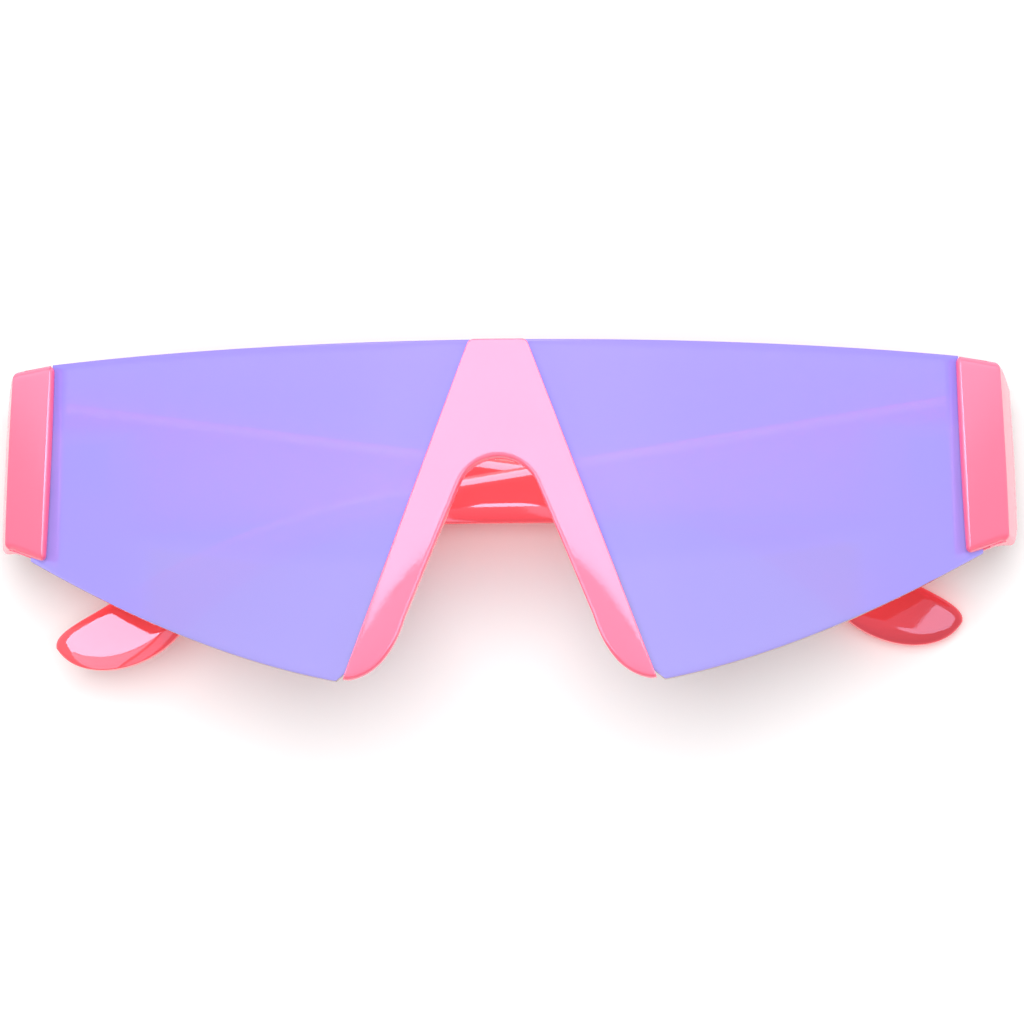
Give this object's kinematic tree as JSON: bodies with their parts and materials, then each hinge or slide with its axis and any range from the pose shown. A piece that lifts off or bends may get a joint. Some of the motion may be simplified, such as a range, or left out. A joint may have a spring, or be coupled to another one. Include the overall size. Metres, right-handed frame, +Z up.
{
  "type": "shield sunglasses",
  "caption": "Shield sunglasses: one wrapped lens with a nose bridge and end pieces clamped on it, and hooked arms folded behind it on metal hinges.",
  "frame": {"origin": "on the surface that the glasses lie on, under the middle of their bounding box", "axes": "+Z up, out of the lens, as they lie on their folded arms; +Y towards the top edge of the lens; +X along the width, towards the hinge of the under arm"},
  "size_m": [0.1548, 0.05, 0.0447],
  "materials": {
    "lens": "smooth mirror-coated plastic, violet to periwinkle",
    "frame_plastic": "polished fluorescent coral pink",
    "arm_plastic": "polished fluorescent coral red",
    "hinge_metal": "satin stainless steel",
    "screw_metal": "bright turned steel"
  },
  "bodies": {
    "front": {"lens": "lens", "bridge": "frame_plastic", "nose_rest": "frame_plastic", "bridge_screws": "screw_metal", "end_piece_left": "frame_plastic", "end_piece_right": "frame_plastic", "lens_screws_left": "screw_metal", "lens_screws_right": "screw_metal", "front_hinge_left": "hinge_metal", "front_hinge_right": "hinge_metal", "front_leaf_screws_left": "screw_metal", "front_leaf_screws_right": "screw_metal", "hinge_screw_left": "screw_metal", "hinge_screw_right": "screw_metal"},
    "left_arm": {"arm_left": "arm_plastic", "arm_hinge_left": "hinge_metal", "arm_leaf_screws_left": "screw_metal"},
    "right_arm": {"arm_right": "arm_plastic", "arm_hinge_right": "hinge_metal", "arm_leaf_screws_right": "screw_metal"}
  },
  "joints": [
    {"name": "left_arm_fold", "type": "hinge", "parent": "front", "child": "left_arm", "pos_m": [-0.0705, 0.00694, 0.00775], "axis": [0, 0.9931, -0.1175], "range_deg": [0, 87.4]},
    {"name": "right_arm_fold", "type": "hinge", "parent": "front", "child": "right_arm", "pos_m": [0.0705, 0.00694, 0.00775], "axis": [0, -0.9931, 0.1175], "range_deg": [-3, 0.5]}
  ]
}
